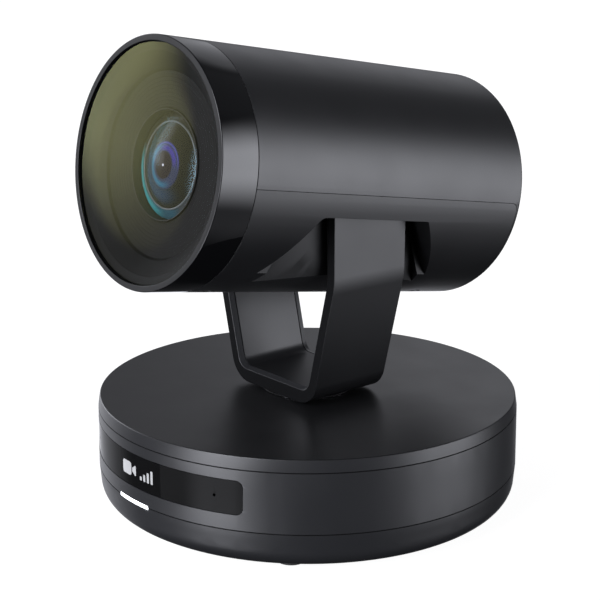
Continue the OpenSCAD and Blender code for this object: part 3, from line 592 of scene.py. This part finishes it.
GLASS_THICK = 0.6
GLASS_UNDER = GLASS_FRONT - GLASS_THICK
glass = turned(
    "cover_glass",
    filleted([
        (0, GLASS_FRONT, 0), (12, GLASS_FRONT, 0), (24, GLASS_FRONT, 0),
        (GLASS_R, GLASS_FRONT, 0.15), (GLASS_R, GLASS_UNDER, 0.1),
        (24, GLASS_UNDER, 0), (12, GLASS_UNDER, 0), (0, GLASS_UNDER, 0),
    ]),
    head_point,
)
standing_for(glass, "front_glass")
finish_with(glass, "front_glass", "front_glass")
paint(glass, "front_glass_back", lambda c, n: n.dot(FORWARD) < 0.5)

# The dish behind the glass: a flange under its edge, a slope, a step, and a finely ribbed floor.
DISH_R = head_radius("lens_baffle")
DISH_BACK = BEZEL_FRONT - 6.5
STEP_R = 28
ribs = []
RIB_COUNT = 8
for k in range(RIB_COUNT):
    r = BARREL_R + 1.2 + (STEP_R - BARREL_R - 2) * k / RIB_COUNT
    h = DISH_BACK - 1 + 0.8 * k / RIB_COUNT
    ribs += [(r, h, 0.1), (r + 0.15, h + 0.1, 0.08)]
dish = turned(
    "lens_dish",
    filleted(
        [(BARREL_R + 0.1, DISH_BACK - 1.3, 0.3), (BARREL_R + 0.6, DISH_BACK - 0.95, 0.2)]
        + ribs
        + [
            (STEP_R, DISH_BACK - 0.2, 0.25), (STEP_R + 0.5, DISH_BACK + 0.8, 0.3),
            (DISH_R - 2.2, GLASS_UNDER - 1.1, 0.3), (DISH_R - 1.9, GLASS_UNDER - 0.85, 0.2),
            (RIM_IN - 0.5, GLASS_UNDER - 0.15, 0.2), (RIM_IN - 0.1, GLASS_UNDER - 0.15, 0.1),
            (RIM_IN - 0.1, GLASS_BACK + 0.05, 0), (DISH_R - 0.5, GLASS_BACK + 0.05, 0),
            (DISH_R - 0.5, GLASS_BACK - 2.6, 0.2), (STEP_R + 1, DISH_BACK - 0.8, 0.3),
            (STEP_R + 0.4, DISH_BACK - 1.8, 0.3), (BARREL_R + 0.1, DISH_BACK - 2.3, 0.2),
        ],
        4,
    ),
    head_point,
)
standing_for(dish, "lens_baffle")
finish_with(dish, "dish", "dish_edge")

# ---------------------------------------------------------------- lens

LENS_R = BARREL_R - 0.5
LENS_EDGE = BARREL_FRONT - 2.5
RING_R = 13.4
PUPIL_R = 4.1
COAT_R = 7.1


def dome_profile(r, edge, sag, count=14):
    """Points of a spherical cap from its edge to its apex."""
    ball = (r * r + sag * sag) / (2 * sag)
    out = []
    for k in range(count + 1):
        x = r * (1 - k / count)
        out.append((x, edge + sag - ball + math.sqrt(ball * ball - x * x)))
    return out


outer = dome_profile(LENS_R, LENS_EDGE, 4.0, 20)
inner = dome_profile(LENS_R - 0.5, LENS_EDGE - 0.4, 3.7, 20)
lens_front = turned("front_element", outer + inner[::-1], head_point, edge=0)
standing_for(lens_front, "front_lens")
finish_with(lens_front, "dome", "dome_back")
for p in lens_front.data.polygons:
    if p.normal.dot(FORWARD) < 0.2:
        p.material_index = 1

barrel = turned(
    "lens_tube",
    filleted([
        (15, 0, 0.2), (8, 0, 0.1), (8, -2, 0.2), (BARREL_R, -2, 0.3),
        (BARREL_R, BARREL_FRONT, 0.12), (BARREL_R - 0.3, BARREL_FRONT, 0.1),
        (LENS_R + 0.06, LENS_EDGE + 0.4, 0.1), (LENS_R + 0.06, LENS_EDGE - 2.5, 0.1),
        (15, LENS_EDGE - 3.5, 0.1),
    ]),
    head_point,
)
standing_for(barrel, "lens_barrel")
finish_with(barrel, "lens_black", "lens_black_edge")

# The second element: a coated dome in a thin retaining ring, with the pupil just under its middle.
ring = turned(
    "retaining_ring",
    filleted([
        (RING_R, LENS_EDGE - 1.4, 0), (RING_R, LENS_EDGE + 0.25, 0.1), (RING_R - 0.2, LENS_EDGE + 0.45, 0.1),
        (RING_R - 0.5, LENS_EDGE + 0.35, 0.1), (RING_R - 0.5, LENS_EDGE - 1.4, 0),
    ]),
    head_point,
)
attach(ring, "head")
finish_with(ring, "ring", "ring_edge")

COLLAR_BACK = LENS_EDGE - 1.2
collar = turned(
    "lens_collar",
    [(LENS_R - 0.1, COLLAR_BACK - 1), (LENS_R - 0.1, COLLAR_BACK + 0.5), (RING_R + 1.4, COLLAR_BACK + 1),
     (RING_R, COLLAR_BACK + 1.2), (RING_R, COLLAR_BACK - 1)],
    head_point, edge=0,
)
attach(collar, "head")

SECOND_R = RING_R - 0.5
second = turned(
    "second_element",
    [(0, COLLAR_BACK - 1), (SECOND_R, COLLAR_BACK - 1)] + dome_profile(SECOND_R, LENS_EDGE + 0.1, 2.6, 24),
    head_point, edge=0,
)
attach(second, "head")


class RadialShader(Shader):
    """A material laid out in millimetres about the optical axis."""

    def __init__(self, name):
        super().__init__(name)
        from_axis = self.add("ShaderNodeVectorMath")
        from_axis.operation = "SUBTRACT"
        self.put(from_axis.inputs[0], self.object)
        self.put(from_axis.inputs[1], tuple(TILT_POINT))
        self.x = self.math("MULTIPLY", self.dot(from_axis.outputs[0], ACROSS), 1 / MM)
        self.y = self.math("MULTIPLY", self.dot(from_axis.outputs[0], HEAD_UP), 1 / MM)
        x_square = self.math("MULTIPLY", self.x, self.x)
        y_square = self.math("MULTIPLY", self.y, self.y)
        self.r = self.math("SQRT", self.math("ADD", x_square, y_square))

    def dot(self, vector, direction):
        d = self.add("ShaderNodeVectorMath")
        d.operation = "DOT_PRODUCT"
        self.put(d.inputs[0], vector)
        self.put(d.inputs[1], tuple(direction))
        return d.outputs["Value"]

    def toward(self, angle, start, full):
        """0 where the cosine of the angle away from this direction is at start, and 1 where it is at full."""
        a = math.radians(angle)
        x_part = self.math("MULTIPLY", self.x, math.cos(a))
        y_part = self.math("MULTIPLY", self.y, math.sin(a))
        along = self.math("ADD", x_part, y_part)
        cosine = self.math("DIVIDE", along, self.math("MAXIMUM", self.r, 0.01))
        return self.range(cosine, start, full, 0.0, 1.0, True)

    def band(self, low, high, soft):
        """1 between two radii, fading over soft mm at each."""
        up = self.range(self.r, low - soft, low + soft, 0.0, 1.0, True)
        return self.math("MULTIPLY", up, self.range(self.r, high - soft, high + soft, 1.0, 0.0, True))

    def over(self, base, mask, colour):
        return self.mix(mask, base, (*colour, 1))


def second_element_painted_reflections():
    """Dark pupil in a ring of painted coating reflections: teal at the lower left, violet at the upper right, a
    blue sheen round the lower left and a painted white highlight at the centre.
    """
    s = RadialShader("second_element_painted_reflections")
    c = s.ramp(s.noise(120, 2), (0.3, (0.013, 0.013, 0.0115)), (0.7, (0.015, 0.015, 0.0135)))
    # Painted reflection: a blue sheen round the lower left.
    glow = s.math("MULTIPLY", s.band(COAT_R, 11.0, 1.6), s.toward(225, -0.1, 0.9))
    c = s.over(c, s.math("MULTIPLY", glow, 0.8), (0.02, 0.045, 0.085))
    c = s.over(c, s.band(PUPIL_R, COAT_R, 0.35), (0.028, 0.035, 0.075))
    # Painted reflections of the coating: teal at the lower left, violet and a blue arc at the upper right.
    teal = s.math("MULTIPLY", s.band(5.2, COAT_R - 0.4, 0.6), s.toward(200, -0.5, 0.7))
    c = s.over(c, teal, (0.02, 0.12, 0.19))
    violet = s.math("MULTIPLY", s.band(4.5, 5.9, 0.4), s.toward(60, 0.35, 0.9))
    c = s.over(c, violet, (0.04, 0.03, 0.2))
    rim = s.math("MULTIPLY", s.band(6.5, 6.9, 0.25), s.toward(65, 0.2, 0.8))
    c = s.over(c, rim, (0.06, 0.06, 0.26))
    c = s.over(c, s.band(-1, PUPIL_R - 0.1, 0.35), (0.016, 0.011, 0.02))
    # Painted highlight: a small white catch light at the centre.
    c = s.over(c, s.band(-1, 0.35, 0.12), (0.8, 0.8, 0.85))
    s.set(Base_Color=c, Roughness=s.range(s.noise(200, 3), 0.3, 0.7, 0.05, 0.09), Specular_IOR_Level=0.12)
    return s.bump(s.noise(400, 2), 0.01, 0.02)


def collar_painted_reflections():
    """Dark collar with painted reflections: teal at its lower left, fading to grey at the bottom."""
    s = RadialShader("collar_painted_reflections")
    c = s.ramp(s.noise(120, 2), (0.3, (0.012, 0.012, 0.011)), (0.7, (0.014, 0.014, 0.013)))
    # Painted reflections, fixed to the collar by angle.
    c = s.over(c, s.toward(300, 0.5, 0.95), (0.035, 0.04, 0.045))
    c = s.over(c, s.toward(262, 0.75, 0.95), (0.018, 0.06, 0.085))
    left = s.math("MULTIPLY", s.toward(215, 0.55, 0.95), s.band(RING_R + 0.9, LENS_R, 0.7))
    c = s.over(c, left, (0.03, 0.24, 0.25))
    s.set(Base_Color=c, Roughness=s.range(s.noise(200, 3), 0.3, 0.7, 0.2, 0.3), Specular_IOR_Level=0.15)
    return s.bump(s.noise(400, 2), 0.01, 0.02)


M["second"] = second_element_painted_reflections()
M["collar"] = collar_painted_reflections()
SLOTS["second"] = SLOTS["collar"] = "lens_glass"
finish_with(second, "second")
finish_with(collar, "collar")

# ---------------------------------------------------------------- symbol on the display

WINDOW_LOW, WINDOW_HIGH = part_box("display_window")
SYMBOL_Z = (WINDOW_LOW.z + WINDOW_HIGH.z) / 2 / MM


def wall_plate(name, outline, r_out, thick, cell=0.6):
    """A thin plate with a flat (along the wall, up) outline in mm, wrapped on the base's wall."""
    bm = bmesh.new()
    face = bm.faces.new([bm.verts.new((x, y, 0)) for x, y in outline])
    if face.normal.z < 0:
        face.normal_flip()
    xs = [p[0] for p in outline]
    at = min(xs) + cell
    while at < max(xs):
        geom = bm.verts[:] + bm.edges[:] + bm.faces[:]
        bmesh.ops.bisect_plane(bm, geom=geom, plane_co=(at, 0, 0), plane_no=(1, 0, 0), dist=1e-6)
        at += cell
    out = bmesh.ops.extrude_face_region(bm, geom=bm.faces[:])
    for v in (g for g in out["geom"] if isinstance(g, bmesh.types.BMVert)):
        v.co.z = -thick
    for v in bm.verts:
        v.co = base_point(r_out + v.co.z, v.co.y, math.degrees(v.co.x / r_out))
    return add_object(name, bm)


def rounded_box_outline(x0, y0, x1, y1, r, steps=6):
    return filleted([(x0, y0, r), (x1, y0, r), (x1, y1, r), (x0, y1, r)], steps)


SYMBOL_FACE_R = 69.85  # 0.05 mm proud of the window's surface
SYMBOL_THICK = 0.08
z0 = SYMBOL_Z
symbol_parts = [
    ("camera", rounded_box_outline(-6.6, z0 - 2.2, -1.6, z0 + 2.2, 1.0)),
    ("lens_wedge", filleted([
        (-1.1, z0 - 0.6, 0.2), (0.9, z0 - 1.9, 0.3), (0.9, z0 + 1.9, 0.3), (-1.1, z0 + 0.6, 0.2),
    ])),
]
for k in range(4):
    x = 3.0 + 1.75 * k
    symbol_parts.append((f"level_{k}", rounded_box_outline(x, z0 - 2.2, x + 0.95, z0 - 0.9 + 1.0 * k, 0.3)))
for part_name, outline in symbol_parts:
    plate = wall_plate("symbol_" + part_name, outline, SYMBOL_FACE_R, SYMBOL_THICK)
    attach(plate, "base")
    finish_with(plate, "symbol")

# ---------------------------------------------------------------- other CAD nodes that can be glimpsed

for node, key in {
    "display_board": "board", "microphones": "steel", "base_plate": "steel", "main_board": "board",
    "processor_heat_sink": "heat_sink", "pan_motor": "steel", "pan_bracket": "steel",
    "pan_bearing": "brass", "pan_shaft": "steel", "pan_gear": "lens_black", "shaft_clip": "steel",
    "yoke_cable": "cable", "tilt_gear": "brass", "pan_pinion": "brass", "guide_rods": "steel",
    "image_sensor": "display", "sensor_board": "board", "sensor_heat_sink": "heat_sink",
    "head_chassis": "steel", "tilt_bushes": "brass", "tilt_motor": "steel", "head_screws": "steel",
    "tilt_pinion": "brass", "zoom_cell": "lens_black", "zoom_lens": "inner_lens",
    "focus_cell": "lens_black", "focus_lens": "inner_lens",
}.items():
    finish_with(frame["nodes"][node], key)

# ---------------------------------------------------------------- studio

SCENE = bpy.context.scene
SCENE.view_settings.view_transform = "Standard"
SCENE.view_settings.look = "None"

camera = bpy.data.objects.new("camera", bpy.data.cameras.new("camera"))
SCENE.collection.objects.link(camera)
SCENE.camera = camera
AIM = Vector((-3.911, 0, 65.991)) * MM
DISTANCE = 487.918 * MM
AZIMUTH, ELEVATION = math.radians(50.266), math.radians(15.128)
back = Vector((
    math.sin(AZIMUTH) * math.cos(ELEVATION),
    -math.cos(AZIMUTH) * math.cos(ELEVATION),
    math.sin(ELEVATION),
))
camera.location = AIM + back * DISTANCE
camera.rotation_euler = (-back).to_track_quat("-Z", "Y").to_euler()
camera.data.sensor_width = 36
camera.data.lens = 88.0
camera.data.clip_start, camera.data.clip_end = 0.01, 50

# Soft boxes as parts of the sky: azimuth of the middle (0 is -Y, 90 is +X), half width, edge softness,
# lowest and highest elevation with the softness of each, and strength.
SOFT_BOXES = [
    (126, 21, 12, -18, 21, 14, 12, 5.5),
    (214, 17, 6, 8, 44, 5, 5, 0.42),
    (240, 30, 12, 5, 60, 5, 8, 0.17),
    (4, 14, 7, -3, 46, 2, 10, 13.0),
    (1, 14, 8, -34, -3, 6, 2, 8.0),
    (-110, 40, 14, -34, -4, 10, 3, 1.0),
    (165, 30, 12, 28, 60, 8, 10, 0.08),
    (126, 21, 12, -52, -18, 12, 8, 0.3),
    (-80, 24.8, 3.5, -1, 30, 3, 8, 3.0),
]
AMBIENT = 0.045
TINT = (0.97, 0.985, 1.06)

world = bpy.data.worlds.new("studio")
world.use_nodes = True
SCENE.world = world
tree = world.node_tree
tree.nodes.clear()


def wnode(kind, op=None):
    n = tree.nodes.new(kind)
    if op:
        n.operation = op
    return n


def wput(socket, value):
    if isinstance(value, bpy.types.NodeSocket):
        tree.links.new(value, socket)
    else:
        socket.default_value = value


def wmath(op, *values):
    n = wnode("ShaderNodeMath", op)
    for k, v in enumerate(values):
        wput(n.inputs[k], v)
    return n.outputs[0]


def wstep(value, a, b):
    n = wnode("ShaderNodeMapRange")
    n.interpolation_type = "SMOOTHSTEP"
    for k, v in enumerate((value, a, b, 0.0, 1.0)):
        wput(n.inputs[k], v)
    return n.outputs[0]


sky = wnode("ShaderNodeTexCoord").outputs["Generated"]
split = wnode("ShaderNodeSeparateXYZ")
wput(split.inputs[0], sky)
flat = wmath("SQRT", wmath("ADD", wmath("MULTIPLY", split.outputs[0], split.outputs[0]),
                           wmath("MULTIPLY", split.outputs[1], split.outputs[1])))
height = wmath("MULTIPLY", wmath("ARCTAN2", split.outputs[2], flat), 180 / math.pi)
total = wmath("MULTIPLY", wstep(height, -70, -20), AMBIENT)
for middle, half, soft, low, high, soft_low, soft_high, strength in SOFT_BOXES:
    a = math.radians(middle)
    dot = wmath("ADD", wmath("MULTIPLY", split.outputs[0], math.sin(a)),
                wmath("MULTIPLY", split.outputs[1], -math.cos(a)))
    cosine = wmath("DIVIDE", dot, wmath("MAXIMUM", flat, 1e-4))
    off = wmath("MULTIPLY", wmath("ARCCOSINE", cosine), 180 / math.pi)
    across = wstep(off, half + soft, half - soft)
    up = wmath("MULTIPLY", wstep(height, low - soft_low, low + soft_low),
               wstep(height, high + soft_high, high - soft_high))
    total = wmath("ADD", total, wmath("MULTIPLY", wmath("MULTIPLY", across, up), strength))
light_path = wnode("ShaderNodeLightPath")
lit = wnode("ShaderNodeBackground")
tinted = wnode("ShaderNodeCombineXYZ")
for k, share in enumerate(TINT):
    wput(tinted.inputs[k], wmath("MULTIPLY", total, share))
wput(lit.inputs["Color"], tinted.outputs[0])
seen = wnode("ShaderNodeBackground")
seen.inputs["Color"].default_value = (1, 1, 1, 1)
either = wnode("ShaderNodeMixShader")
wput(either.inputs[0], light_path.outputs["Is Camera Ray"])
wput(either.inputs[1], lit.outputs[0])
wput(either.inputs[2], seen.outputs[0])
wput(wnode("ShaderNodeOutputWorld").inputs["Surface"], either.outputs[0])

bm = bmesh.new()
bmesh.ops.create_circle(bm, cap_ends=True, segments=96, radius=12)
floor = add_object("floor", bm)
paper = Shader("floor_paper")
paper.set(Base_Color=paper.ramp(paper.noise(3, 2), (0.3, (0.16, 0.16, 0.16)), (0.7, (0.18, 0.18, 0.18))))
paper.set(Roughness=0.9, Specular_IOR_Level=0.0, Emission_Color=(1, 1, 1, 1), Emission_Strength=0.96)
paper.mat.cycles.emission_sampling = "NONE"
floor.data.materials.append(paper.mat)
floor.visible_diffuse = False
floor.visible_glossy = False
floor.visible_transmission = False
floor.visible_shadow = False
